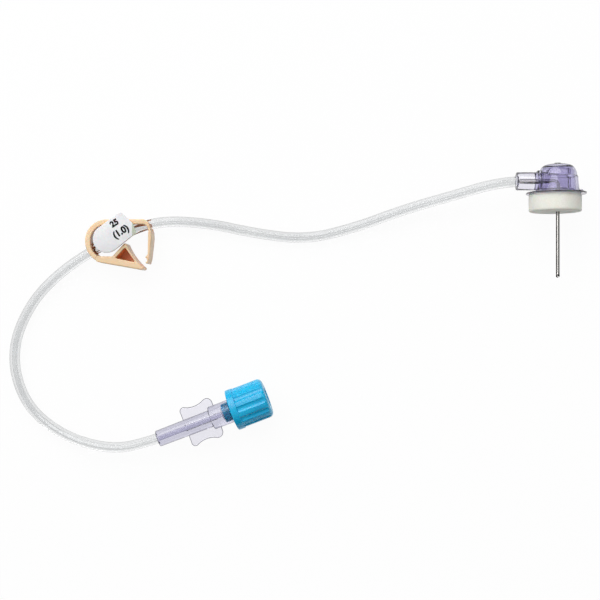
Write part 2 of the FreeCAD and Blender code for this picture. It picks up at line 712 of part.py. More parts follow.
pad(luer, "Lugs", lug_outline, "2.2")
doc.recompute()
bore_profile = outline(luer, "BoreProfile", "XY_Plane", [
    ("- 0.5", "0"),
    ("- 0.5", "tube_r + 0.5"),
    ("0", "tube_r + 0.4"),
    ("2.5", "tube_r + tube_fit"),
    ("sleeve_seat", "tube_r + tube_fit"),
    ("sleeve_seat", "lumen_r"),
    ("taper_end_x", "lumen_r"),
    ("taper_end_x", "taper_end_r"),
    ("mouth_x", "mouth_r"),
    ("mouth_x + 0.5", "mouth_r"),
    ("mouth_x + 0.5", "0"),
])
spin(luer, "LuerBore", bore_profile, "H_Axis", "PartDesign::Groove")
NODES.append(luer)

# Luer cap: ribbed skirt, closed end with a dish, and the male plug that seals the luer bore
plug_root_x = SIZE["cap_x"] + SIZE["cap_bore_len"]
plug_tip_x = SIZE["cap_x"] - SIZE["plug_tip"]
plug_mouth_r = SIZE["mouth_r"] - SIZE["plug_fit"]
plug_root_r = plug_mouth_r + SIZE["plug_slope"] * (plug_root_x - SIZE["mouth_x"])
plug_tip_r = plug_mouth_r - SIZE["plug_slope"] * (SIZE["mouth_x"] - plug_tip_x)
cap = new_body("luer_cap", place_luer)
cap_profile = outline(cap, "CapProfile", "XY_Plane", [
    ("cap_x - plug_tip", "0"),
    ("cap_x - plug_tip", "%.4f" % (plug_tip_r - 0.12)),
    ("cap_x - plug_tip + 0.12", "%.4f" % plug_tip_r),
    ("cap_x + cap_bore_len", "%.4f" % plug_root_r),
    ("cap_x + cap_bore_len", "cap_bore_r"),
    ("cap_x", "cap_bore_r"),
    ("cap_x", "cap_collar_r - 0.3"),
    ("cap_x + 0.09", "cap_collar_r - 0.09", "cap_x + 0.3", "cap_collar_r"),
    ("cap_x + cap_collar_len - 0.1", "cap_collar_r"),
    ("cap_x + cap_collar_len + 0.1", "cap_r"),
    ("cap_x + cap_len - 1.5", "cap_r"),
    ("cap_x + cap_len - 0.35", "cap_r - 0.55", "cap_x + cap_len", "cap_r - 1.5"),
    ("cap_x + cap_len", "cap_dish_r"),
    ("cap_x + cap_len - cap_dish_len", "cap_dish_r - 0.2"),
    ("cap_x + cap_len - cap_dish_len", "0"),
])
spin(cap, "CapBody", cap_profile, "H_Axis")
doc.recompute()
rib_flute = bar(cap, "SubtractiveCylinder", "RibFlute", "rib_r", "cap_len", "X",
                 "cap_x + cap_collar_len", "0", "rib_ring_r")
doc.recompute()
ribs = cap.newObject("PartDesign::PolarPattern", "RibFlutes")
ribs.Originals = [rib_flute]
ribs.Axis = (plane_of(cap, "X_Axis"), [""])
ribs.Angle = 360
ribs.Occurrences = RIB_COUNT
cap.Tip = ribs
doc.recompute()
NODES.append(cap)

# Checks before anything is written
doc.recompute()
for thing in doc.Objects:
    if "Invalid" in thing.State or "Error" in thing.State:
        raise RuntimeError("%s is not built: %s" % (thing.Label, thing.State))
tube_length = tube_wire.Length
ring_area = math.pi * (SIZE["tube_r"] ** 2 - SIZE["lumen_r"] ** 2)
print("tubing length %.1f, corner radii %s" % (tube_length, " ".join("%.1f" % r for r in tube_radii)))
print("tubing volume %.1f, section by length %.1f" % (tube_shape.Volume, ring_area * tube_length))
os.makedirs("parts", exist_ok=True)
for node in NODES:
    shape = node.Shape
    if shape.isNull() or not shape.isValid():
        raise RuntimeError(node.Label + " has no valid shape")
    print("%-12s solids %d volume %.2f" % (node.Label, len(shape.Solids), shape.Volume))
    shape.exportStep("parts/" + node.Label + ".step")
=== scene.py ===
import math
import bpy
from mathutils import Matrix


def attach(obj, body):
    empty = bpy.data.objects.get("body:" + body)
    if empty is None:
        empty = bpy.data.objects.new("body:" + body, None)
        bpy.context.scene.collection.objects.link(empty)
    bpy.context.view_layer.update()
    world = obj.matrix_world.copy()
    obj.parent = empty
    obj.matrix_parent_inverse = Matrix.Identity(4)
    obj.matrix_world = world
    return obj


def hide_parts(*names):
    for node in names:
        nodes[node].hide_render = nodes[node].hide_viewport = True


bl_info = {
    "name": "Port access needle set",
    "version": (1, 0, 0),
    "blender": (4, 5, 0),
    "location": "View3D > Sidebar > Needle set",
    "description": "Makes the pieces, finishes and stage of a port access needle set",
    "category": "Add Mesh",
}

import bmesh
import bpy
from bpy.props import (
    FloatProperty, FloatVectorProperty, IntProperty, PointerProperty, StringProperty)
from mathutils import Matrix, Vector, noise
from mathutils.bvhtree import BVHTree

MM = 0.001

# Tubing route: corner points of its centre line, in metres
ROUTE = [
    (-0.00635, 0.01175, 0.00890),
    (-0.01460, 0.01175, 0.00890),
    (-0.02885, 0.00775, 0.00675),
    (-0.04380, 0.00365, 0.00390),
    (-0.05820, -0.00160, 0.00180),
    (-0.07335, -0.00530, 0.00160),
    (-0.08910, -0.00340, 0.00160),
    (-0.10355, -0.00020, 0.00205),
    (-0.12010, 0.00040, 0.00360),
    (-0.13415, -0.00630, 0.00370),
    (-0.14720, -0.01395, 0.00260),
    (-0.15820, -0.02470, 0.00160),
    (-0.16410, -0.03980, 0.00175),
    (-0.16025, -0.05540, 0.00160),
    (-0.14860, -0.06520, 0.00280),
    (-0.13255, -0.06935, 0.00585),
    (-0.12045, -0.06670, 0.00630),
    (-0.11070, -0.06295, 0.00630),
]
# Lengths of the route inside the socket and the luer's sleeve, which the cord leaves out
IN_SOCKET, IN_SLEEVE = 3.6 * MM, 7.9 * MM

# Where the head, the clamp and the luer connector stand, as in the frame
HEAD_TURN, LUER_TURN = math.radians(-90), math.radians(21)
HEAD = Matrix.Translation(Vector((2.05, 7.85, 8.9)) * MM) @ Matrix.Rotation(HEAD_TURN, 4, "X")
CLAMP = Matrix.Translation(Vector((-133.95, -5.63, 0.0)) * MM)
LUER = Matrix.Translation(Vector((-118.19, -65.83, 6.3)) * MM) @ Matrix.Rotation(LUER_TURN, 4, "Z")
HINGE = Vector((-136.05, -11.48)) * MM
CAMERA = Vector((-75.275, -23.86, 308.9)) * MM

# Lamps: place from the middle of the floor, then size, in metres
LAMPS = {
    "key": ((-0.34, 0.52, 0.56), (0.95, 0.95)),
    "strip_light": ((0.0, 0.5, 0.57), (1.5, 0.2)),
    "fill": ((0.4, -0.3, 0.5), (0.7, 0.7)),
}
# The floor's glow as a share of white: seen straight, and through or in a shiny piece
SEEN_GLOW, CARRIED_GLOW = 0.95, 0.86
# How much the sky lightens towards the north
NORTH_LIFT = 0.25

# Outlines in mm: corners are (x, y), arcs are (middle x, middle y, end x, end y)
TAG_OUTLINE = [
    (-3.25, -1.7, -2.2, 3.37),
    (4.2, 8.1),
    (4.45, 8.25, 4.85, 8.1),
    (8.2, 5.0),
    (8.45, 4.75, 8.5, 4.5),
    (9.3, 2.3),
    (9.25, 1.95, 9.0, 1.65),
    (2.7, -3.38),
]
TAG_SLOPE = [(8.15, 8.2), (8.15, 8.6), (9.6, 8.6), (9.6, 7.31)]

# Numerals on the tag in mm: height, then x and y of their middle
UPPER_PRINT, LOWER_PRINT, PRINT_TURN = (2.5, 2.85, 4.85), (2.8, 4.8, 2.3), math.radians(33)
INK_BOLD, INK_HALF, INK_LIFT = 0.14 * MM, 0.01 * MM, 0.015 * MM

WING_OUTLINE = [
    (9.0, -1.5),
    (9.0, -4.65),
    (9.35, -5.85, 10.5, -6.15),
    (13.7, -5.35, 16.8, -6.15),
    (18.7, -5.8, 19.2, -4.55),
    (19.2, 4.55),
    (18.7, 5.8, 16.8, 6.15),
    (13.7, 5.35, 10.5, 6.15),
    (9.35, 5.85, 9.0, 4.65),
]
LUG_OUTLINE = [(28.9, -3.9), (29.98, -3.9), (29.98, 3.9), (28.9, 3.9)]

# Turned profiles in mm: (along the axis, radius)
LUER_PROFILE = [
    (0, 0), (0, 2.34), (0.06, 2.44), (0.2, 2.5),
    (17.05, 2.62), (17.2, 2.68), (17.25, 2.82), (17.25, 3.3), (17.33, 3.46), (17.5, 3.55),
    (23.45, 3.55), (23.62, 3.5), (23.8, 3.35), (29.85, 3.35), (30.0, 3.2), (30.0, 0),
]
LUER_BORE = [
    (-0.5, 0), (-0.5, 1.535), (0.5, 1.535), (0.5, 0.75),
    (20.9, 0.75), (20.9, 1.8), (30.0, 2.07), (30.6, 2.09), (30.6, 0),
]
CORE_FOOT = [(0.5, 0), (0.5, 4.7), (1.1, 4.7), (1.32, 4.55), (1.4, 4.3), (1.4, 0)]
SOCKET_PROFILE = [(-12.4, 0), (-12.4, 2.52), (-12.34, 2.64), (-12.2, 2.7), (-2.0, 2.7), (-2.0, 0)]
SOCKET_SEAT = [(-13.4, 0), (-13.4, 1.535), (-11.9, 1.535), (-11.9, 0)]
SOCKET_LIFT = 3.9

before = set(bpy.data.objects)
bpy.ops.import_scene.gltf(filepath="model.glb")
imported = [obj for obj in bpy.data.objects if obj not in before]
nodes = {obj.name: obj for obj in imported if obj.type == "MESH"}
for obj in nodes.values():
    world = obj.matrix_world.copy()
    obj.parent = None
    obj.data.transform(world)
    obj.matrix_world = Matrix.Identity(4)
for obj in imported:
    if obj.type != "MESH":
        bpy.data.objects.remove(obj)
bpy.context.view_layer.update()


def srgb(red, green, blue):
    """A colour as written in 0 to 255, in the linear values that a shader takes."""

    def one(value):
        value /= 255.0
        return value / 12.92 if value <= 0.04045 else ((value + 0.055) / 1.055) ** 2.4

    return (one(red), one(green), one(blue), 1.0)


# ---------------------------------------------------------------- sizes and colours
class TubingLook(bpy.types.PropertyGroup):
    """Sizes and colours of the tubing."""

    outer_radius: FloatProperty(
        name="Outer radius", description="Outside of the tubing",
        default=1.55 * MM, unit="LENGTH", precision=5)
    bore_radius: FloatProperty(
        name="Bore radius", description="Inside of the tubing",
        default=0.75 * MM, unit="LENGTH", precision=5)
    sides: IntProperty(
        name="Sides", description="Faces round the tubing",
        default=40, min=8, subtype="UNSIGNED")
    light: FloatVectorProperty(
        name="Light", description="Lighter colour of the tubing",
        default=srgb(240, 241, 241), size=4, subtype="COLOR")
    dark: FloatVectorProperty(
        name="Dark", description="Darker colour of the tubing",
        default=srgb(232, 233, 234), size=4, subtype="COLOR")
    # Painted shade: colour painted along the tubing's outline.
    rim: FloatVectorProperty(
        name="Rim Shade", description="Colour along the tubing's outline",
        default=srgb(96, 97, 100), size=4, subtype="COLOR")


class HeadLook(bpy.types.PropertyGroup):
    """Sizes and colours of the pad, the core, the dome, the base plate and the needle."""

    pad_radius: FloatProperty(
        name="Pad radius", description="Foam pad at its rim",
        default=7.8 * MM, unit="LENGTH", precision=5)
    pad_thick: FloatProperty(
        name="Pad thickness", description="Foam pad from top to underside",
        default=5.3 * MM, unit="LENGTH", precision=5)
    pad_rim: FloatProperty(
        name="Pad rim", description="Rounding of the foam pad's rims",
        default=0.55 * MM, unit="LENGTH", precision=5)
    pad_hole: FloatProperty(
        name="Needle hole", description="Hole for the needle in the pad",
        default=0.68 * MM, unit="LENGTH", precision=5)
    needle_shift: FloatProperty(
        name="Needle offset", description="Needle from the pad's middle",
        default=0.8 * MM, unit="LENGTH", precision=5)
    core_half_x: FloatProperty(
        name="Core half width", description="Core block along the socket, halved",
        default=3.15 * MM, unit="LENGTH", precision=5)
    core_half_y: FloatProperty(
        name="Core half depth", description="Core block across the socket, halved",
        default=2.7 * MM, unit="LENGTH", precision=5)
    waist: FloatProperty(
        name="Waist", description="Depth of the groove round the core block",
        default=0.5 * MM, unit="LENGTH", precision=5)
    foam_light: FloatVectorProperty(
        name="Foam light", description="Lighter colour of the foam",
        default=srgb(238, 238, 230), size=4, subtype="COLOR")
    foam_dark: FloatVectorProperty(
        name="Foam dark", description="Darker colour of the foam",
        default=srgb(229, 229, 219), size=4, subtype="COLOR")
    foam_cells: FloatVectorProperty(
        name="Foam cells", description="Colour at the middle of the foam's cells",
        default=srgb(224, 224, 213), size=4, subtype="COLOR")
    socket: FloatVectorProperty(
        name="Socket", description="Colour of the clear side socket",
        default=srgb(243, 242, 250), size=4, subtype="COLOR")
    core: FloatVectorProperty(
        name="Core", description="Colour of the core block inside the dome",
        default=srgb(214, 208, 226), size=4, subtype="COLOR")
    dome_light: FloatVectorProperty(
        name="Dome light", description="Lighter colour of the dome",
        default=srgb(229, 227, 243), size=4, subtype="COLOR")
    dome_dark: FloatVectorProperty(
        name="Dome dark", description="Darker colour of the dome",
        default=srgb(212, 209, 234), size=4, subtype="COLOR")
    # Painted shade: colour painted along the dome's outline.
    dome_rim_shade: FloatVectorProperty(
        name="Dome rim", description="Colour along the dome's outline",
        default=srgb(84, 78, 120), size=4, subtype="COLOR")
    plate: FloatVectorProperty(
        name="Base plate", description="Colour of the base plate",
        default=srgb(226, 223, 234), size=4, subtype="COLOR")
    steel: FloatVectorProperty(
        name="Steel", description="Colour of the needle",
        default=srgb(240, 238, 235), size=4, subtype="COLOR")


class ClampLook(bpy.types.PropertyGroup):
    """Sizes and colours of the clamp, its tag and the print on it."""

    strip_cell: FloatProperty(
        name="Strip cell", description="Mesh cell of the clamp's frame",
        default=0.11 * MM, unit="LENGTH", precision=5)
    strip_wear: IntProperty(
        name="Strip wear", description="Rounds of smoothing on the frame's edges",
        default=6, min=0, subtype="UNSIGNED")
    lever_cell: FloatProperty(
        name="Lever cell", description="Mesh cell of the clamp's jaw",
        default=0.15 * MM, unit="LENGTH", precision=5)
    lever_wear: IntProperty(
        name="Lever wear", description="Rounds of smoothing on the jaw's edges",
        default=7, min=0, subtype="UNSIGNED")
    tag_low: FloatProperty(
        name="Tag underside", description="Height of the tag's underside",
        default=7.23 * MM, unit="LENGTH", precision=5)
    tag_high: FloatProperty(
        name="Tag face", description="Height of the tag's face",
        default=8.2 * MM, unit="LENGTH", precision=5)
    tag_rim: FloatProperty(
        name="Tag rim", description="Rounding of the tag's rims",
        default=0.16 * MM, unit="LENGTH", precision=5)
    upper_text: StringProperty(
        name="Upper line", description="Numeral on the tag's upper line",
        default="25")
    lower_text: StringProperty(
        name="Lower line", description="Numeral on the tag's lower line",
        default="(1.0)")
    cream_light: FloatVectorProperty(
        name="Cream light", description="Lighter colour of the clamp",
        default=srgb(234, 206, 170), size=4, subtype="COLOR")
    cream_dark: FloatVectorProperty(
        name="Cream dark", description="Darker colour of the clamp",
        default=srgb(224, 194, 155), size=4, subtype="COLOR")
    # Painted shade: colour painted inside the clamp's recesses.
    painted_recess_shade: FloatVectorProperty(
        name="Hollow", description="Colour inside the clamp's recesses",
        default=srgb(240, 172, 116), size=4, subtype="COLOR")
    tag: FloatVectorProperty(
        name="Tag", description="Colour of the size tag",
        default=srgb(228, 228, 229), size=4, subtype="COLOR")
    # Painted shade: colour painted on the tag's sloped end.
    painted_slope_shade: FloatVectorProperty(
        name="Tag slope", description="Colour of the tag's sloped end",
        default=srgb(206, 213, 194), size=4, subtype="COLOR")
    ink: FloatVectorProperty(
        name="Ink", description="Colour of the numerals",
        default=srgb(10, 10, 11), size=4, subtype="COLOR")


class LuerLook(bpy.types.PropertyGroup):
    """Sizes and colours of the luer hub and its cap."""

    wing_half: FloatProperty(
        name="Wing half thickness", description="Finger wings, halved",
        default=0.55 * MM, unit="LENGTH", precision=5)
    wing_rim: FloatProperty(
        name="Wing rim", description="Rounding of the wings' rims",
        default=0.42 * MM, unit="LENGTH", precision=5)
    lug_half: FloatProperty(
        name="Lug half width", description="Lugs at the mouth, halved",
        default=1.1 * MM, unit="LENGTH", precision=5)
    barrel_light: FloatVectorProperty(
        name="Barrel light", description="Lighter colour of the barrel",
        default=srgb(218, 217, 231), size=4, subtype="COLOR")
    barrel_dark: FloatVectorProperty(
        name="Barrel dark", description="Darker colour of the barrel",
        default=srgb(204, 203, 221), size=4, subtype="COLOR")
    # Painted shade: colour painted along the barrel's outline.
    barrel_rim_shade: FloatVectorProperty(
        name="Barrel rim", description="Colour along the barrel's outline",
        default=srgb(80, 76, 98), size=4, subtype="COLOR")
    wing: FloatVectorProperty(
        name="Wings", description="Colour of the finger wings",
        default=srgb(246, 245, 251), size=4, subtype="COLOR")
    # Painted shade: the dark line painted round the wings' outline.
    wing_shade_line: FloatVectorProperty(
        name="Wing outline", description="Colour of the dark line round the wings",
        default=srgb(40, 37, 54), size=4, subtype="COLOR")
    cap_light: FloatVectorProperty(
        name="Cap light", description="Lighter colour of the cap",
        default=srgb(0, 178, 220), size=4, subtype="COLOR")
    cap_dark: FloatVectorProperty(
        name="Cap dark", description="Darker colour of the cap",
        default=srgb(0, 162, 210), size=4, subtype="COLOR")


class StageLook(bpy.types.PropertyGroup):
    """Camera, floor, lamps and sky."""

    lens: FloatProperty(
        name="Lens", description="Focal length of the camera, mm",
        default=60.0, min=1.0, unit="CAMERA")
    floor_grey: FloatProperty(
        name="Floor", description="Lightness of the floor",
        default=0.84, min=0.0, max=1.0, subtype="FACTOR")
    key_power: FloatProperty(
        name="Key lamp", description="Power of the large soft lamp",
        default=6.8, unit="POWER")
    strip_power: FloatProperty(
        name="Strip lamp", description="Power of the long soft lamp",
        default=1.6, unit="POWER")
    fill_power: FloatProperty(
        name="Fill lamp", description="Power of the lamp opposite",
        default=0.3, unit="POWER")
    sky_strength: FloatProperty(
        name="Sky", description="Strength of the soft sky",
        default=0.58, min=0.0)


# ---------------------------------------------------------------- meshes
def linked(mesh, name):
    ob = bpy.data.objects.new(name, mesh)
    bpy.context.scene.collection.objects.link(ob)
    return ob


def mesh_of(bm, name, place=None):
    bmesh.ops.remove_doubles(bm, verts=bm.verts, dist=1e-7)
    bmesh.ops.recalc_face_normals(bm, faces=bm.faces)
    mesh = bpy.data.meshes.new(name)
    bm.to_mesh(mesh)
    bm.free()
    if place is not None:
        mesh.transform(place)
    return mesh


def shade(mesh, degrees):
    for poly in mesh.polygons:
        poly.use_smooth = True
    mesh.set_sharp_from_angle(angle=math.radians(degrees))


def baked(ob):
    """The object's mesh with its modifiers applied; the object itself is removed."""
    bpy.context.view_layer.update()
    graph = bpy.context.evaluated_depsgraph_get()
    mesh = bpy.data.meshes.new_from_object(ob.evaluated_get(graph))
    bpy.data.objects.remove(ob)
    return mesh


def ring_points(radius, sides):
    for k in range(sides):
        angle = 2 * math.pi * k / sides
        yield radius * math.cos(angle), radius * math.sin(angle)


def band(bm, first, second):
    """Faces between two rings of as many vertices."""
    for k in range(len(first)):
        n = (k + 1) % len(first)
        bm.faces.new((first[k], first[n], second[n], second[k]))


def turned(name, profile, sides=96, place=None, upright=False):
    """A closed profile of (along, radius) points in mm, turned about X; radius 0 is a pole."""
    bm = bmesh.new()
    rings = []
    for along, radius in profile:
        spots = ring_points(radius, sides) if radius > 0 else [(0, 0)]
        rings.append([bm.verts.new(Vector((along, y, z)) * MM) for y, z in spots])
    for first, second in list(zip(rings, rings[1:])) + [(rings[-1], rings[0])]:
        if len(first) == 1 and len(second) == 1:
            continue
        if len(first) == 1 or len(second) == 1:
            pole, ring = (first[0], second) if len(first) == 1 else (second[0], first)
            for k in range(sides):
                bm.faces.new((pole, ring[(k + 1) % sides], ring[k]))
        else:
            band(bm, first, second)
    if upright:
        up = Matrix.Rotation(math.radians(-90), 3, "Y")
        bmesh.ops.rotate(bm, verts=bm.verts, cent=(0, 0, 0), matrix=up)
    return mesh_of(bm, name, place)


def arc(start, middle, end, count):
    """Points of the arc through three points, without its first point."""
    (ax, ay), (bx, by), (cx, cy) = start, middle, end
    d = 2 * (ax * (by - cy) + bx * (cy - ay) + cx * (ay - by))
    a2, b2, c2 = ax * ax + ay * ay, bx * bx + by * by, cx * cx + cy * cy
    ux = (a2 * (by - cy) + b2 * (cy - ay) + c2 * (ay - by)) / d
    uy = (a2 * (cx - bx) + b2 * (ax - cx) + c2 * (bx - ax)) / d
    radius = math.hypot(ax - ux, ay - uy)
    first = math.atan2(ay - uy, ax - ux)
    last = math.atan2(cy - uy, cx - ux)
    turn = (bx - ax) * (cy - ay) - (by - ay) * (cx - ax)
    if turn > 0 and last < first:
        last += 2 * math.pi
    if turn < 0 and last > first:
        last -= 2 * math.pi
    angles = [first + (last - first) * i / count for i in range(1, count + 1)]
    return [(ux + radius * math.cos(a), uy + radius * math.sin(a)) for a in angles]


def outline(steps, count):
    """A closed outline from (x, y) and (middle x, middle y, x, y) steps."""
    points = []
    spot = steps[-1][-2:]
    for step in steps:
        if len(step) == 4:
            points.extend(arc(spot, step[:2], step[2:], count))
        else:
            points.append(step)
        spot = step[-2:]
    return points


def slab(name, points, low, high, round_edge=0.0, segments=4):
    """An outline in mm raised from low to high, with both rims rounded."""
    bm = bmesh.new()
    base = [bm.verts.new(Vector((x, y, low)) * MM) for x, y in points]
    top = [bm.verts.new(Vector((x, y, high)) * MM) for x, y in points]
    bm.faces.new(base[::-1])
    bm.faces.new(top)
    band(bm, base, top)
    if round_edge:
        rims = [edge for edge in bm.edges if abs(edge.verts[0].co.z - edge.verts[1].co.z) < 1e-9]
        bmesh.ops.recalc_face_normals(bm, faces=bm.faces)
        bmesh.ops.bevel(
            bm, geom=rims, offset=round_edge * MM, segments=segments, profile=0.5,
            affect="EDGES", clamp_overlap=True)
    return mesh_of(bm, name)


def combined(name, base, add=(), cut=()):
    """One closed mesh: base joined with the add meshes, less the cut meshes."""
    ob = linked(base, name)
    helpers = []
    for kind, group in (("UNION", add), ("DIFFERENCE", cut)):
        for mesh in group:
            helpers.append(linked(mesh, name + "_helper"))
            step = ob.modifiers.new(kind, "BOOLEAN")
            step.operation = kind
            step.object = helpers[-1]
            step.solver = "EXACT"
    mesh = baked(ob)
    for helper in helpers:
        bpy.data.objects.remove(helper)
    mesh.name = name
    return mesh


def piece(name, mesh, body, material, *stands_for, slot, degrees=35.0):
    """A finished piece: shaded, riding its body and standing for its nodes."""
    if not mesh.polygons:
        raise RuntimeError(name + " has no faces")
    shade(mesh, degrees)
    ob = linked(mesh, name)
    mesh.materials.clear()
    mesh.materials.append(material)
    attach(ob, body)
    if stands_for:
        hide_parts(*stands_for)
    return ob


def dress(name, material):
    """Gives a node of the frame its finish."""
    data = nodes[name].data
    data.materials.clear()
    data.materials.append(material)


# ---------------------------------------------------------------- finishes
class Graph:
    """A small builder for the nodes of one material or one node group."""

    def __init__(self, tree):
        self.tree = tree

    def add(self, kind, **settings):
        node = self.tree.nodes.new(kind)
        for key, value in settings.items():
            setattr(node, key, value)
        return node

    def link(self, source, target):
        self.tree.links.new(source, target)

    def feed(self, socket, value):
        if isinstance(value, bpy.types.NodeSocket):
            self.link(value, socket)
        else:
            socket.default_value = value

    def coords(self):
        return self.add("ShaderNodeTexCoord").outputs["Object"]

    def along(self, axis):
        """The object's own coordinate along one axis."""
        node = self.add("ShaderNodeSeparateXYZ")
        self.link(self.coords(), node.inputs[0])
        return node.outputs[axis]

    def noise(self, vector, scale, detail=3.0):
        node = self.add("ShaderNodeTexNoise")
        self.link(vector, node.inputs["Vector"])
        self.feed(node.inputs["Scale"], scale)
        self.feed(node.inputs["Detail"], detail)
        return node.outputs["Fac"]

    def span(self, value, low, high, to_low=0.0, to_high=1.0, smooth=False):
        way = "SMOOTHSTEP" if smooth else "LINEAR"
        node = self.add("ShaderNodeMapRange", interpolation_type=way)
        names = ("Value", "From Min", "From Max", "To Min", "To Max")
        for name, item in zip(names, (value, low, high, to_low, to_high)):
            self.feed(node.inputs[name], item)
        return node.outputs["Result"]

    def mix(self, share, first, second):
        node = self.add("ShaderNodeMix", data_type="RGBA")
        self.feed(node.inputs[0], share)
        self.feed(node.inputs[6], first)
        self.feed(node.inputs[7], second)
        return node.outputs[2]

    def math(self, kind, first, second):
        node = self.add("ShaderNodeMath", operation=kind)
        self.feed(node.inputs[0], first)
        self.feed(node.inputs[1], second)
        return node.outputs[0]

    def bump(self, height, depth, strength, normal=None):
        node = self.add("ShaderNodeBump")
        self.feed(node.inputs["Distance"], depth)
        self.feed(node.inputs["Strength"], strength)
        self.link(height, node.inputs["Height"])
        if normal:
            self.link(normal, node.inputs["Normal"])
        return node.outputs["Normal"]

    def painted_rim_shade(self, colour, rim, start, end):
        """Places the shared painted rim shade; the angle to the eye is read here, outside the
        group.
        """
        angle = self.add("ShaderNodeLayerWeight")
        angle.inputs["Blend"].default_value = 0.5
        node = self.add("ShaderNodeGroup", node_tree=shared_group("painted_rim_shade"))
        for socket, value in zip(node.inputs, (angle.outputs["Facing"], colour, rim, start, end)):
            self.feed(socket, value)
        return node.outputs["Colour"]


# Sockets of the shared node groups, as name and kind
GROUP_INPUTS = {
    "moulded_surface": {
        "Vector": "Vector", "Light": "Color", "Dark": "Color",
        "Patch Scale": "Float", "Patch Detail": "Float", "Patch Low": "Float",
        "Patch High": "Float", "Gloss Scale": "Float", "Smoothest": "Float", "Roughest": "Float",
        "Grain Scale": "Float", "Grain Detail": "Float", "Grain Depth": "Float",
        "Grain Strength": "Float",
    },
    # The second group paints shade along outlines.
    "painted_rim_shade": {
        "Facing": "Float", "Colour": "Color", "Rim Shade": "Color", "Start": "Float", "End": "Float",
    },
}
GROUP_OUTPUTS = {
    "moulded_surface": {"Colour": "Color", "Roughness": "Float", "Normal": "Vector"},
    "painted_rim_shade": {"Colour": "Color"},
}


def shared_group(name):
    """A node group that several finishes place with their own values, built once."""
    if name in bpy.data.node_groups:
        return bpy.data.node_groups[name]
    tree = bpy.data.node_groups.new(name, "ShaderNodeTree")
    for way, sockets in (("INPUT", GROUP_INPUTS[name]), ("OUTPUT", GROUP_OUTPUTS[name])):
        for label, kind in sockets.items():
            tree.interface.new_socket(name=label, in_out=way, socket_type="NodeSocket" + kind)
    g = Graph(tree)
    fill = {"moulded_surface": fill_surface, "painted_rim_shade": fill_painted_rim_shade}[name]
    fill(g, g.add("NodeGroupInput").outputs, g.add("NodeGroupOutput").inputs)
    return tree


def fill_painted_rim_shade(g, given, made):
    """Painted shade: darkens clear plastic, and the needle's steel, towards its outline, in place
    of the dark that bent and reflected light gives there; the longer way light takes through the
    plastic there accounts for only a little of it.
    """
    share = g.span(given["Facing"], given["Start"], given["End"], smooth=True)
    g.link(g.mix(share, given["Colour"], given["Rim Shade"]), made["Colour"])


def fill_surface(g, given, made):
    """Patches of two colours, changing gloss and fine grain."""
    patches = g.noise(given["Vector"], given["Patch Scale"], given["Patch Detail"])
    share = g.span(patches, given["Patch Low"], given["Patch High"])
    g.link(g.mix(share, given["Light"], given["Dark"]), made["Colour"])
    gloss = g.noise(given["Vector"], given["Gloss Scale"])
    g.link(g.span(gloss, 0.3, 0.7, given["Smoothest"], given["Roughest"]), made["Roughness"])
    grain = g.noise(given["Vector"], given["Grain Scale"], given["Grain Detail"])
    g.link(g.bump(grain, given["Grain Depth"], given["Grain Strength"]), made["Normal"])


def new_finish(name, light, dark, patch, gloss, grain, vector=None, **constants):
    """A material with the shared surface, its graph, its shader's inputs and the surface's outputs.

    patch is scale, detail, low and high; gloss is scale, smoothest and roughest; grain is scale,
    detail, depth and strength. light and vector may be functions that add their own nodes.
    """
    mat = bpy.data.materials.new(name)
    mat.use_nodes = True
    mat.node_tree.nodes.clear()
    g = Graph(mat.node_tree)
    out = g.add("ShaderNodeOutputMaterial")
    shader = g.add("ShaderNodeBsdfPrincipled")
    for key, value in constants.items():
        shader.inputs[key.replace("_", " ")].default_value = value
    g.link(shader.outputs[0], out.inputs["Surface"])
    surface = g.add("ShaderNodeGroup", node_tree=shared_group("moulded_surface"))
    g.link(vector(g) if vector else g.coords(), surface.inputs["Vector"])
    values = (light(g) if callable(light) else light, dark) + patch + gloss + grain
    for socket, value in zip(list(surface.inputs)[1:], values):
        g.feed(socket, value)
    for made, taken in (("Colour", "Base Color"), ("Roughness", "Roughness"), ("Normal", "Normal")):
        g.link(surface.outputs[made], shader.inputs[taken])
    return mat, g, shader.inputs, surface.outputs


def clear_tubing(look):
    mat, g, p, surface = new_finish(
        "clear_tubing", look.light, look.dark, (90, 3.0, 0.0, 1.0), (200, 0.02, 0.05),
        (40, 1.0, 0.00001, 0.2), IOR=1.42, Transmission_Weight=1.0)
    # Painted shade along the tubing's outline.
    g.link(g.painted_rim_shade(surface["Colour"], look.rim, 0.42, 0.95), p["Base Color"])
    return mat


def clear_plastic(look):
    mat, g, p, surface = new_finish(
        "clear_plastic", look.barrel_light, look.barrel_dark, (120, 3.0, 0.0, 1.0),
        (200, 0.02, 0.05), (60, 1.0, 0.00001, 0.15), IOR=1.5, Transmission_Weight=1.0)
    # Painted shade along the barrel's outline.
    g.link(g.painted_rim_shade(surface["Colour"], look.barrel_rim_shade, 0.4, 0.92), p["Base Color"])
    return mat


def wing_plastic(look):
    """The luer's clear plastic where it is thin, with painted shade: a dark line round its rounded
    rim.
    """
    mat, g, p, surface = new_finish(
        "wing_plastic", look.wing, srgb(238, 237, 246), (120, 3.0, 0.0, 1.0), (200, 0.02, 0.06),
        (60, 1.0, 0.00001, 0.15), IOR=1.5, Transmission_Weight=1.0)
    # Painted shade: a dark line along the outline of the wings.
    g.link(g.painted_rim_shade(surface["Colour"], look.wing_shade_line, 0.02, 0.35), p["Base Color"])
    return mat


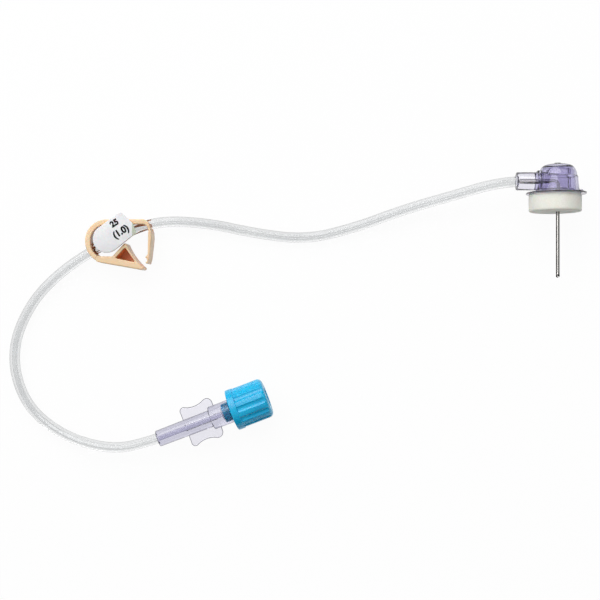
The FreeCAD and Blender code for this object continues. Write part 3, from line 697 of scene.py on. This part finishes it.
def core_plastic(look):
    """Clear at the socket, tinted violet inside the dome."""

    def body(g):
        inside = g.span(g.along("X"), -4.6 * MM, -2.6 * MM, smooth=True)
        return g.mix(inside, look.socket, look.core)

    mat, g, p, surface = new_finish(
        "core_plastic", body, srgb(226, 221, 240), (260, 3.0, 0.3, 1.633), (200, 0.02, 0.06),
        (80, 1.0, 0.00001, 0.2), IOR=1.5, Transmission_Weight=1.0)
    # Painted shade along the core's outline.
    g.link(g.painted_rim_shade(surface["Colour"], srgb(120, 114, 142), 0.5, 0.98), p["Base Color"])
    return mat


def violet_plastic(look):
    mat, g, p, surface = new_finish(
        "violet_plastic", look.dome_light, look.dome_dark, (140, 3.0, 0.0, 1.0), (420, 0.02, 0.1),
        (130, 2.0, 0.00003, 0.3), IOR=1.5, Transmission_Weight=1.0)
    # Painted shade along the dome's outline.
    g.link(g.painted_rim_shade(surface["Colour"], look.dome_rim_shade, 0.3, 0.9), p["Base Color"])
    return mat


def plate_film(look):
    mat, g, p, surface = new_finish(
        "plate_film", look.plate, srgb(208, 204, 220), (150, 3.0, 0.0, 1.0), (500, 0.05, 0.18),
        (130, 2.0, 0.00001, 0.1), IOR=1.5, Transmission_Weight=1.0)
    # Painted shade along the base plate's outline.
    g.link(g.painted_rim_shade(surface["Colour"], srgb(110, 102, 128), 0.4, 0.98), p["Base Color"])
    return mat


def foam(look):
    mat, g, p, surface = new_finish(
        "foam", look.foam_light, look.foam_dark, (180, 5.0, 0.3, 0.7), (300, 0.86, 0.94),
        (300, 2.0, 0.00001, 0.1), Subsurface_Weight=0.2, Subsurface_Scale=0.0015)
    cells = g.add("ShaderNodeTexVoronoi", feature="SMOOTH_F1")
    cells.inputs["Scale"].default_value = 2400
    g.link(g.coords(), cells.inputs["Vector"])
    depth = cells.outputs["Distance"]
    g.link(g.mix(g.span(depth, 0.0, 0.8), look.foam_cells, surface["Colour"]), p["Base Color"])
    g.link(g.bump(depth, 0.00005, 0.3, surface["Normal"]), p["Normal"])
    return mat


def needle_steel(look):
    """Drawn steel with streaks along the shaft, and a painted reflection darkening its sides,
    lighter where it is bonded in.
    """

    def drawn(g):
        node = g.add("ShaderNodeMapping")
        node.inputs["Scale"].default_value = (6.0, 0.3, 6.0)
        g.link(g.coords(), node.inputs["Vector"])
        return node.outputs[0]

    mat, g, p, surface = new_finish(
        "needle_steel", look.steel, srgb(228, 226, 222), (300, 2.0, 0.0, 1.0), (300, 0.16, 0.24),
        (300, 2.0, 0.000002, 0.2), drawn, Metallic=1.0)
    # Painted reflection: the sides are darkened towards the outline, less where the needle is
    # bonded in.
    bonded = g.span(g.along("Y"), 6.0 * MM, 8.0 * MM)
    rim = g.mix(bonded, srgb(96, 93, 89), srgb(204, 202, 204))
    g.link(g.painted_rim_shade(surface["Colour"], rim, 0.008, 0.09), p["Base Color"])
    return mat


def clamp_plastic(look):
    mat, g, p, surface = new_finish(
        "clamp_plastic", look.cream_light, look.cream_dark, (140, 3.0, 0.0, 1.0), (600, 0.3, 0.46),
        (1500, 3.0, 0.00002, 0.4), Subsurface_Weight=0.25, Subsurface_Scale=0.0012,
        Subsurface_Radius=(1.0, 0.5, 0.25))
    # Painted shade: ambient occlusion darkens the clamp's recesses.
    painted_recess_shade = g.add("ShaderNodeAmbientOcclusion", samples=8)
    painted_recess_shade.inputs["Distance"].default_value = 4.5 * MM
    shade_share = g.span(painted_recess_shade.outputs["AO"], 0.25, 0.85, 1.0, 0.0, smooth=True)
    g.link(g.mix(shade_share, surface["Colour"], look.painted_recess_shade), p["Base Color"])
    return mat


def tag_plastic(look):
    mat, g, p, surface = new_finish(
        "tag_plastic", look.tag, srgb(219, 220, 222), (240, 4.0, 0.3, 0.7), (900, 0.36, 0.5),
        (2000, 3.0, 0.00001, 0.4), Subsurface_Weight=0.1, Subsurface_Scale=0.0005)
    # Painted shade on the tag's sloped end.
    slope = g.span(g.along("X"), -126.0 * MM, -125.6 * MM, smooth=True)
    g.link(g.mix(slope, surface["Colour"], look.painted_slope_shade), p["Base Color"])
    return mat


def tag_ink(look):
    return new_finish(
        "tag_ink", look.ink, srgb(24, 24, 26), (1500, 3.0, 0.0, 1.0), (2500, 0.6, 0.8),
        (2500, 2.0, 0.000005, 0.1), Specular_IOR_Level=0.15)[0]


def blue_plastic(look):
    return new_finish(
        "blue_plastic", look.cap_light, look.cap_dark, (150, 3.0, 0.3, 0.7), (600, 0.2, 0.34),
        (200, 1.0, 0.00002, 0.2), IOR=1.5, Subsurface_Weight=0.3, Subsurface_Scale=0.001,
        Subsurface_Radius=(0.1, 0.7, 1.0))[0]


# ---------------------------------------------------------------- tubing
def route_points():
    """Points of the smooth curve that the route's corner points steer."""
    curve = bpy.data.curves.new("route", "CURVE")
    curve.dimensions = "3D"
    curve.resolution_u = 14
    spline = curve.splines.new("NURBS")
    spline.points.add(len(ROUTE) - 1)
    for point, co in zip(spline.points, ROUTE):
        point.co = (*co, 1.0)
    spline.order_u = 3
    spline.use_endpoint_u = True
    mesh = baked(linked(curve, "route"))
    points = [vert.co.copy() for vert in mesh.vertices]
    bpy.data.meshes.remove(mesh)
    return points


def between(points, start, end):
    """The path without its first stretch of length start and its last one of length end."""
    for left_out in (start, end):
        gone = 0.0
        while gone + (points[1] - points[0]).length < left_out:
            gone += (points[1] - points[0]).length
            points = points[1:]
        step = points[1] - points[0]
        points = [points[0] + step * ((left_out - gone) / step.length)] + points[1:]
        points = points[::-1]
    return points


def tubing_path():
    return between(route_points(), IN_SOCKET, IN_SLEEVE)


def tube_wall(name, points, outer_radius, bore_radius, sides):
    """A tube wall that follows the points."""
    bm = bmesh.new()
    walls = []
    for radius in (outer_radius, bore_radius):
        rings = []
        for i, spot in enumerate(points):
            heading = (points[min(i + 1, len(points) - 1)] - points[max(i - 1, 0)]).normalized()
            side = heading.cross(Vector((0, 0, 1))).normalized()
            top = side.cross(heading).normalized()
            spots = [spot + side * x + top * y for x, y in ring_points(radius, sides)]
            rings.append([bm.verts.new(co) for co in spots])
        walls.append(rings)
        for first, second in zip(rings, rings[1:]):
            band(bm, first, second)
    outer, bore = walls
    band(bm, outer[0], bore[0])
    band(bm, outer[-1], bore[-1])
    return mesh_of(bm, name)


class NEEDLESET_OT_tubing(bpy.types.Operator):
    """Make the clear tubing between the head's socket and the luer's sleeve"""

    bl_idname = "needle_set.tubing"
    bl_label = "Tubing"

    def execute(self, context):
        look = context.scene.needle_tubing
        wall = tube_wall("tube", tubing_path(), look.outer_radius, look.bore_radius, look.sides)
        piece("tube", wall, "set", clear_tubing(look), "tubing", slot="clear_tubing")
        return {"FINISHED"}


class NEEDLESET_OT_tubing_ends(bpy.types.Operator):
    """Work out the tubing's path; nothing further is done with it"""

    bl_idname = "needle_set.tubing_ends"
    bl_label = "Tubing ends"

    def execute(self, context):
        path = tubing_path()
        return {"FINISHED"}


# ---------------------------------------------------------------- head
def pad_mesh(look):
    """Foam disc with softly rounded rims, a slight belly and the needle's hole off its centre."""
    sides, steps, spread = 96, 10, (0.12, 0.35, 0.6, 0.85)
    radius, thick, rim = look.pad_radius / MM, look.pad_thick / MM, look.pad_rim / MM
    hole, shift = look.pad_hole / MM, look.needle_shift / MM
    side, flat = radius - 0.05, radius - rim
    wall = [(flat, 0.0), (radius - 0.16, -0.12), (side, -rim)]
    for i in range(1, steps):
        belly = 0.045 * math.sin(math.pi * i / steps)
        wall.append((side + belly, -rim - (thick - 2 * rim) * i / steps))
    wall += [(side, -thick + rim), (radius - 0.18, -thick + 0.14), (flat, -thick)]
    bm = bmesh.new()

    def ring(reach, height, centre=0.0, rough=0.0):
        row = []
        for x, y in ring_points(reach, sides):
            spot = Vector((centre + x, y, height))
            if rough:
                spot *= 1.0 - rough * (0.5 + 0.5 * noise.noise(spot * 0.9))
            row.append(bm.verts.new(spot * MM))
        return row

    def face_ring(f, height):
        return ring(hole + (flat - hole) * f, height, shift * (1 - f))

    rows = [ring(hole, 0.0, shift)]
    rows += [face_ring(f, 0.0) for f in spread]
    rows += [ring(reach, height, 0.0, 0.006) for reach, height in wall]
    rows += [face_ring(f, -thick + 0.03 * (1 - f)) for f in spread[::-1]]
    rows += [ring(hole, -thick + 0.08, shift), ring(hole, -thick * 0.5, shift)]
    for first, second in list(zip(rows, rows[1:])) + [(rows[-1], rows[0])]:
        band(bm, first, second)
    return mesh_of(bm, "pad", HEAD @ Matrix.Translation((-shift * MM, 0, 0)))


def core_column(look):
    """The block inside the dome, with rounded corners and a groove round its waist."""
    middle, corner, waist = 0.15, 0.5, look.waist / MM
    half_x, half_y = look.core_half_x / MM, look.core_half_y / MM
    levels = [
        (0.5, 0.0), (4.9, 0.0), (5.05, 0.1), (5.1, waist), (5.85, waist), (5.9, 0.1),
        (6.05, 0.0), (7.3, 0.0), (7.45, 0.08), (7.5, 0.25),
    ]
    bm = bmesh.new()
    rows = []
    for height, inset in levels:
        row = []
        for sign_x, sign_y, first in ((1, 1, 0), (-1, 1, 90), (-1, -1, 180), (1, -1, 270)):
            for k in range(5):
                angle = math.radians(first + 90 * k / 4)
                x = middle + sign_x * (half_x - inset - corner) + corner * math.cos(angle)
                y = sign_y * (half_y - inset - corner) + corner * math.sin(angle)
                row.append(bm.verts.new(Vector((x, y, height)) * MM))
        rows.append(row)
    bm.faces.new(rows[0][::-1])
    bm.faces.new(rows[-1])
    for first, second in zip(rows, rows[1:]):
        band(bm, first, second)
    return mesh_of(bm, "column")


class NEEDLESET_OT_pad(bpy.types.Operator):
    """Make the soft foam pad"""

    bl_idname = "needle_set.pad"
    bl_label = "Foam pad"

    def execute(self, context):
        look = context.scene.needle_head
        pad = piece("pad", pad_mesh(look), "set", foam(look), "foam_pad", slot="foam", degrees=60)
        return {"FINISHED"}


class NEEDLESET_OT_core(bpy.types.Operator):
    """Make the foot, waisted block and side socket in one moulding"""

    bl_idname = "needle_set.core"
    bl_label = "Hub core"

    def execute(self, context):
        look = context.scene.needle_head
        lift = Matrix.Translation((0, 0, SOCKET_LIFT * MM))
        foot = turned("foot", CORE_FOOT, upright=True)
        socket = turned("socket", SOCKET_PROFILE, place=lift)
        seat = turned("seat", SOCKET_SEAT, place=lift)
        mesh = combined("core", core_column(look), add=(foot, socket), cut=(seat,))
        mesh.transform(HEAD)
        piece("core", mesh, "set", core_plastic(look), "hub_core", slot="clear_plastic", degrees=30)
        return {"FINISHED"}


class NEEDLESET_OT_dome(bpy.types.Operator):
    """Finish the violet dome and the base plate"""

    bl_idname = "needle_set.dome"
    bl_label = "Dome and base plate"

    def execute(self, context):
        look = context.scene.needle_head
        dress("dome_cover", violet_plastic(look))
        dress("base_plate", plate_film(look))
        return {"FINISHED"}


class NEEDLESET_OT_needle(bpy.types.Operator):
    """Finish the steel needle"""

    bl_idname = "needle_set.needle"
    bl_label = "Needle"

    def execute(self, context):
        dress("cannula", needle_steel(context.scene.needle_head))
        return {"FINISHED"}


# ---------------------------------------------------------------- clamp
def from_hinge(vert):
    return Vector(vert.co.xy) - HINGE


def softened(name, node, cell, rounds):
    """A copy of a frame node with its edges worn round, but not at the living hinge."""
    source = nodes[node].data
    ob = linked(source.copy(), name)
    remesh = ob.modifiers.new("remesh", "REMESH")
    remesh.mode = "VOXEL"
    remesh.voxel_size = cell
    smooth = ob.modifiers.new("smooth", "SMOOTH")
    smooth.factor = 0.5
    smooth.iterations = rounds
    mesh = baked(ob)
    mesh.name = name
    faces = [tuple(face.vertices) for face in source.polygons]
    sharp = BVHTree.FromPolygons([vert.co for vert in source.vertices], faces)
    reach, fade = 2.2 * MM, 1.0 * MM
    for vert in mesh.vertices:
        away = from_hinge(vert).length
        if away < reach:
            vert.co = vert.co.lerp(sharp.find_nearest(vert.co)[0], min(1.0, (reach - away) / fade))
    return mesh


def fill_hinge(mesh):
    """Lets the jaw's round heel fill its seat in the frame."""
    inner, outer, seat, ahead = 0.7 * MM, 0.94 * MM, 0.955 * MM, 0.2 * MM
    arm = Vector((0.968, -0.25))
    for vert in mesh.vertices:
        out = from_hinge(vert)
        if inner < out.length < outer and out.dot(arm) < ahead:
            vert.co.x, vert.co.y = HINGE + out.normalized() * seat


class NEEDLESET_OT_clamp(bpy.types.Operator):
    """Make the pinch clamp's frame and jaw"""

    bl_idname = "needle_set.clamp"
    bl_label = "Clamp"

    def execute(self, context):
        look = context.scene.needle_clamp
        cream = clamp_plastic(look)
        strip = softened("strip", "clamp_frame", look.strip_cell, look.strip_wear)
        lever = softened("lever", "clamp_jaw", look.lever_cell, look.lever_wear)
        fill_hinge(lever)
        piece("strip", strip, "set", cream, "clamp_frame", slot="clamp_plastic", degrees=80)
        piece("lever", lever, "jaw", cream, "clamp_jaw", slot="clamp_plastic", degrees=80)
        return {"FINISHED"}


def numerals(name, text, place, height, ink):
    """Plain numerals as raised ink on the tag."""
    size, x, y = (value * MM for value in place)
    curve = bpy.data.curves.new(name, "FONT")
    curve.body = text
    curve.size = size
    curve.align_x = "CENTER"
    curve.align_y = "CENTER"
    curve.offset = INK_BOLD
    curve.extrude = INK_HALF
    curve.resolution_u = 4
    mesh = baked(linked(curve, name))
    spot = Matrix.Translation((x, y, height + INK_LIFT))
    mesh.transform(CLAMP @ spot @ Matrix.Rotation(PRINT_TURN, 4, "Z"))
    piece(name, mesh, "set", ink, slot="tag_plastic")


class NEEDLESET_OT_tag(bpy.types.Operator):
    """Make the size tag with its sloped end and its numerals"""

    bl_idname = "needle_set.tag"
    bl_label = "Size tag"

    def execute(self, context):
        look = context.scene.needle_clamp
        plate = slab(
            "tag", outline(TAG_OUTLINE, 12), look.tag_low / MM, look.tag_high / MM,
            round_edge=look.tag_rim / MM, segments=3)
        slope = slab("slope", TAG_SLOPE, -9.0, 3.0)
        slope.transform(Matrix.Rotation(math.radians(90), 4, "X"))
        mesh = combined("tag", plate, cut=(slope,))
        mesh.transform(CLAMP)
        piece("tag", mesh, "set", tag_plastic(look), "size_tag", slot="tag_plastic", degrees=30)
        ink = tag_ink(look)
        numerals("tag_number", look.upper_text, UPPER_PRINT, look.tag_high, ink)
        numerals("tag_number_small", look.lower_text, LOWER_PRINT, look.tag_high, ink)
        return {"FINISHED"}


# ---------------------------------------------------------------- luer connector
def is_thin(face, look):
    """Whether a face of the hub is on a wing or on a step, where the finish paints a dark line of
    shade.
    """
    barrel, wing_front, rear_rim, step_back, step_front = 2.7, 19.3, 0.22, 17.0, 17.45
    x, y, z = (value / MM for value in face.center)
    level = abs(z) < look.wing_half / MM + 0.01
    on_wing = level and math.hypot(y, z) > barrel and abs(y) > barrel - 0.05 and x < wing_front
    return on_wing or x < rear_rim or step_back < x < step_front


class NEEDLESET_OT_luer(bpy.types.Operator):
    """Make the luer hub with its sleeve, finger wings and lugs"""

    bl_idname = "needle_set.luer"
    bl_label = "Luer hub"

    def execute(self, context):
        look = context.scene.needle_luer
        wing, lug = look.wing_half / MM, look.lug_half / MM
        wings = slab(
            "wings", outline(WING_OUTLINE, 10), -wing, wing,
            round_edge=look.wing_rim / MM, segments=5)
        lugs = slab("lugs", LUG_OUTLINE, -lug, lug, round_edge=0.12, segments=2)
        bore = turned("bore", LUER_BORE)
        mesh = combined("luer", turned("luer", LUER_PROFILE), add=(wings, lugs), cut=(bore,))
        # Faces on wings and steps get the finish with the painted dark line of shade.
        thin = [is_thin(face, look) for face in mesh.polygons]
        mesh.transform(LUER)
        clear = clear_plastic(look)
        piece("luer", mesh, "set", clear, "luer_hub", slot="clear_plastic", degrees=30)
        mesh.materials.append(wing_plastic(look))
        for face, painted_line in zip(mesh.polygons, thin):
            face.material_index = 1 if painted_line else 0
        return {"FINISHED"}


class NEEDLESET_OT_cap(bpy.types.Operator):
    """Finish the blue cap"""

    bl_idname = "needle_set.cap"
    bl_label = "Luer cap"

    def execute(self, context):
        dress("luer_cap", blue_plastic(context.scene.needle_luer))
        return {"FINISHED"}


# ---------------------------------------------------------------- stage
def make_camera(look):
    data = bpy.data.cameras.new("camera")
    data.sensor_width = 36.0
    data.lens = look.lens
    data.clip_start = 0.01
    data.clip_end = 20.0
    camera = linked(data, "camera")
    camera.location = CAMERA
    bpy.context.scene.camera = camera


def make_floor(look):
    """Plain pale floor that the camera sees white, apart from the soft shadow."""
    bm = bmesh.new()
    bmesh.ops.create_grid(bm, x_segments=4, y_segments=4, size=1.5)
    mesh = mesh_of(bm, "floor", Matrix.Translation((CAMERA.x, CAMERA.y, -0.02 * MM)))
    linked(mesh, "floor")
    mat = bpy.data.materials.new("floor")
    mat.use_nodes = True
    mat.node_tree.nodes.clear()
    g = Graph(mat.node_tree)
    shader = g.add("ShaderNodeBsdfPrincipled")
    shader.inputs["Base Color"].default_value = (*[look.floor_grey] * 3, 1)
    shader.inputs["Roughness"].default_value = 0.9
    shader.inputs["Specular IOR Level"].default_value = 0.0
    rays = g.add("ShaderNodeLightPath").outputs
    seen = g.math("MULTIPLY", rays["Is Camera Ray"], SEEN_GLOW)
    carried = g.math("MAXIMUM", rays["Is Glossy Ray"], rays["Is Transmission Ray"])
    mixer = g.add("ShaderNodeMixShader")
    g.link(g.math("MAXIMUM", seen, g.math("MULTIPLY", carried, CARRIED_GLOW)), mixer.inputs["Fac"])
    g.link(shader.outputs[0], mixer.inputs[1])
    g.link(g.add("ShaderNodeEmission").outputs[0], mixer.inputs[2])
    g.link(mixer.outputs[0], g.add("ShaderNodeOutputMaterial").inputs["Surface"])
    mesh.materials.append(mat)


def make_sky(look):
    """Soft sky, lightest overhead and a little towards the north."""
    world = bpy.data.worlds.new("world")
    bpy.context.scene.world = world
    world.use_nodes = True
    world.node_tree.nodes.clear()
    g = Graph(world.node_tree)
    sky = g.add("ShaderNodeBackground")
    sky.inputs["Strength"].default_value = look.sky_strength
    split = g.add("ShaderNodeSeparateXYZ")
    g.link(g.add("ShaderNodeTexCoord").outputs["Generated"], split.inputs[0])
    level = g.math("ADD", split.outputs["Z"], g.math("MULTIPLY", split.outputs["Y"], NORTH_LIFT))
    ramp = g.add("ShaderNodeValToRGB")
    stops = ramp.color_ramp.elements
    stops[0].position, stops[0].color = 0.05, (0.06, 0.06, 0.07, 1)
    stops[1].position, stops[1].color = 0.85, (1.0, 1.0, 1.0, 1)
    middle = stops.new(0.5)
    middle.color = (0.34, 0.34, 0.36, 1)
    g.link(level, ramp.inputs["Fac"])
    g.link(ramp.outputs["Color"], sky.inputs["Color"])
    g.link(sky.outputs[0], g.add("ShaderNodeOutputWorld").inputs["Surface"])


def make_lamp(name, power):
    place, size = LAMPS[name]
    data = bpy.data.lights.new(name, "AREA")
    data.shape = "RECTANGLE"
    data.size, data.size_y = size
    data.energy = power
    target = Vector((CAMERA.x, CAMERA.y, 0))
    lamp = linked(data, name)
    lamp.location = target + Vector(place)
    lamp.rotation_euler = (target - lamp.location).to_track_quat("-Z", "Y").to_euler()


class NEEDLESET_OT_stage(bpy.types.Operator):
    """Set up the camera, the pale floor, the sky and the soft lamps"""

    bl_idname = "needle_set.stage"
    bl_label = "Stage"

    def execute(self, context):
        look = context.scene.needle_stage
        make_camera(look)
        make_floor(look)
        make_sky(look)
        for name, power in zip(LAMPS, (look.key_power, look.strip_power, look.fill_power)):
            make_lamp(name, power)
        context.scene.view_settings.view_transform = "Standard"
        return {"FINISHED"}


# ---------------------------------------------------------------- sidebar
class NEEDLESET_PT_sidebar(bpy.types.Panel):
    """The set's pieces with their sizes and colours"""

    bl_idname = "NEEDLESET_PT_sidebar"
    bl_label = "Needle set"
    bl_space_type = "VIEW_3D"
    bl_region_type = "UI"
    bl_category = "Needle set"

    def draw(self, context):
        for operator in OPERATORS:
            self.layout.operator(operator.bl_idname)
        for name, look in LOOKS.items():
            box = self.layout.box()
            for key in look.__annotations__:
                box.prop(getattr(context.scene, name), key)


LOOKS = {
    "needle_stage": StageLook,
    "needle_tubing": TubingLook,
    "needle_head": HeadLook,
    "needle_clamp": ClampLook,
    "needle_luer": LuerLook,
}
OPERATORS = (
    NEEDLESET_OT_stage,
    NEEDLESET_OT_tubing,
    NEEDLESET_OT_pad,
    NEEDLESET_OT_core,
    NEEDLESET_OT_dome,
    NEEDLESET_OT_needle,
    NEEDLESET_OT_clamp,
    NEEDLESET_OT_tag,
    NEEDLESET_OT_luer,
    NEEDLESET_OT_cap,
    NEEDLESET_OT_tubing_ends,
)
CLASSES = (*LOOKS.values(), *OPERATORS, NEEDLESET_PT_sidebar)


def register():
    for cls in CLASSES:
        bpy.utils.register_class(cls)
    for name, look in LOOKS.items():
        setattr(bpy.types.Scene, name, PointerProperty(type=look))


def unregister():
    for name in LOOKS:
        delattr(bpy.types.Scene, name)
    for cls in reversed(CLASSES):
        bpy.utils.unregister_class(cls)


def main():
    register()
    bpy.ops.needle_set.stage()
    bpy.ops.needle_set.tubing()
    bpy.ops.needle_set.pad()
    bpy.ops.needle_set.core()
    bpy.ops.needle_set.dome()
    bpy.ops.needle_set.needle()
    bpy.ops.needle_set.clamp()
    bpy.ops.needle_set.tag()
    bpy.ops.needle_set.luer()
    bpy.ops.needle_set.cap()
    bpy.ops.needle_set.tubing_ends()
    bpy.context.view_layer.update()


if __name__ == "__main__":
    main()
